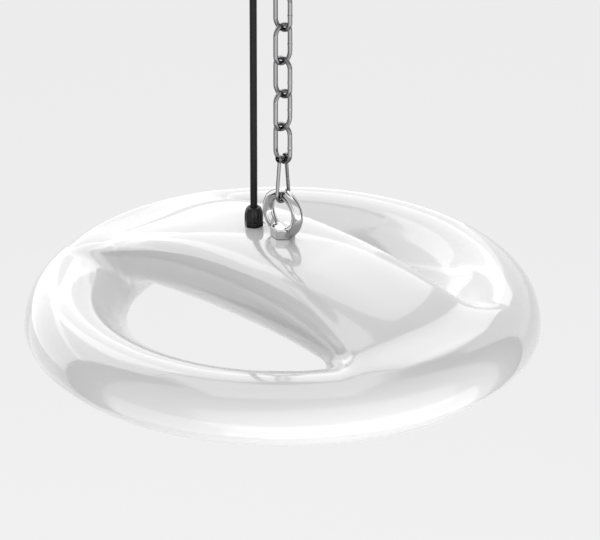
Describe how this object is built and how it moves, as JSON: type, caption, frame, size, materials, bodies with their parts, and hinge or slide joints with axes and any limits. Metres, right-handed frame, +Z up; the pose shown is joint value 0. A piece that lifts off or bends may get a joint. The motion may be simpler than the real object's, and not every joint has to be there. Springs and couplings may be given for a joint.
{
  "type": "hanging ring swing seat",
  "caption": "Glossy white moulded ring seat with an arched bridge and two leg openings, hung from a ceiling plate by eye nut, shackle and link chain, with a power cable beside the chain.",
  "frame": {"origin": "centre of the ceiling plate's upper face, where it meets the ceiling", "axes": "+Z up out of the plate's fixing face, +X along the seat's bridge away from the cable, +Y across the bridge"},
  "size_m": [0.722, 0.722, 0.5927],
  "materials": {
    "white_plastic": "high gloss",
    "cover_plastic": "satin",
    "polished_steel": "polished",
    "zinc_steel": "zinc plated",
    "white_coat": "satin powder coat",
    "black_nylon": "moulded, fine grain",
    "cable_jacket": "smooth matt jacket",
    "black_rubber": "matt",
    "nylon": "natural",
    "board_green": "solder mask",
    "lamp_yellow": "phosphor"
  },
  "bodies": {
    "ceiling": {"ceiling_plate": "white_coat", "clevis_bush": "nylon", "clevis_bolt": "zinc_steel", "clevis_washers": "zinc_steel", "clevis_nut": "zinc_steel", "ceiling_gland_body": "black_nylon", "ceiling_gland_nut": "black_nylon", "ceiling_gland_seal": "black_rubber", "power_cable": "cable_jacket"},
    "link_6": {"chain_link_6": "polished_steel"},
    "link_5": {"chain_link_5": "polished_steel"},
    "link_4": {"chain_link_4": "polished_steel"},
    "link_3": {"chain_link_3": "polished_steel"},
    "link_2": {"chain_link_2": "polished_steel"},
    "link_1": {"chain_link_1": "polished_steel"},
    "shackle": {"shackle_bow": "polished_steel", "shackle_pin": "polished_steel"},
    "seat": {"eye_nut": "polished_steel", "eye_gasket": "black_rubber", "seat_shell": "white_plastic", "seat_gland_body": "black_nylon", "seat_gland_nut": "black_nylon", "seat_gland_seal": "black_rubber", "seat_gland_locknut": "black_nylon", "tie_rod": "zinc_steel", "compression_tube": "zinc_steel", "base_cover": "cover_plastic", "cover_gasket": "black_rubber", "cover_screws": "zinc_steel", "rod_washer": "zinc_steel", "rod_nut": "zinc_steel", "nut_cap": "black_nylon", "terminal_block": "nylon", "lamp_board": "board_green", "lamp_chips": "lamp_yellow"}
  },
  "joints": [
    {"name": "top_link_swing", "type": "hinge", "parent": "ceiling", "child": "link_6", "pos_m": [0, 0, -0.034], "axis": [1, 0, 0], "range_deg": [-45, 45], "deforming": ["power_cable"]},
    {"name": "link_5_swing", "type": "hinge", "parent": "link_6", "child": "link_5", "pos_m": [0, 0, -0.07895], "axis": [0, 1, 0], "range_deg": [-45, 45]},
    {"name": "link_4_swing", "type": "hinge", "parent": "link_5", "child": "link_4", "pos_m": [0, 0, -0.12765], "axis": [-1, 0, 0], "range_deg": [-45, 45]},
    {"name": "link_3_swing", "type": "hinge", "parent": "link_4", "child": "link_3", "pos_m": [0, 0, -0.17635], "axis": [0, -1, 0], "range_deg": [-45, 45]},
    {"name": "link_2_swing", "type": "hinge", "parent": "link_3", "child": "link_2", "pos_m": [0, 0, -0.22505], "axis": [1, 0, 0], "range_deg": [-45, 45]},
    {"name": "link_1_swing", "type": "hinge", "parent": "link_2", "child": "link_1", "pos_m": [0, 0, -0.27375], "axis": [0, 1, 0], "range_deg": [-45, 45]},
    {"name": "shackle_swing", "type": "hinge", "parent": "link_1", "child": "shackle", "pos_m": [0, 0, -0.32245], "axis": [-1, 0, 0], "range_deg": [-45, 45]},
    {"name": "seat_swing", "type": "hinge", "parent": "shackle", "child": "seat", "pos_m": [0, 0, -0.3825], "axis": [0, -1, 0], "range_deg": [-45, 45]}
  ]
}
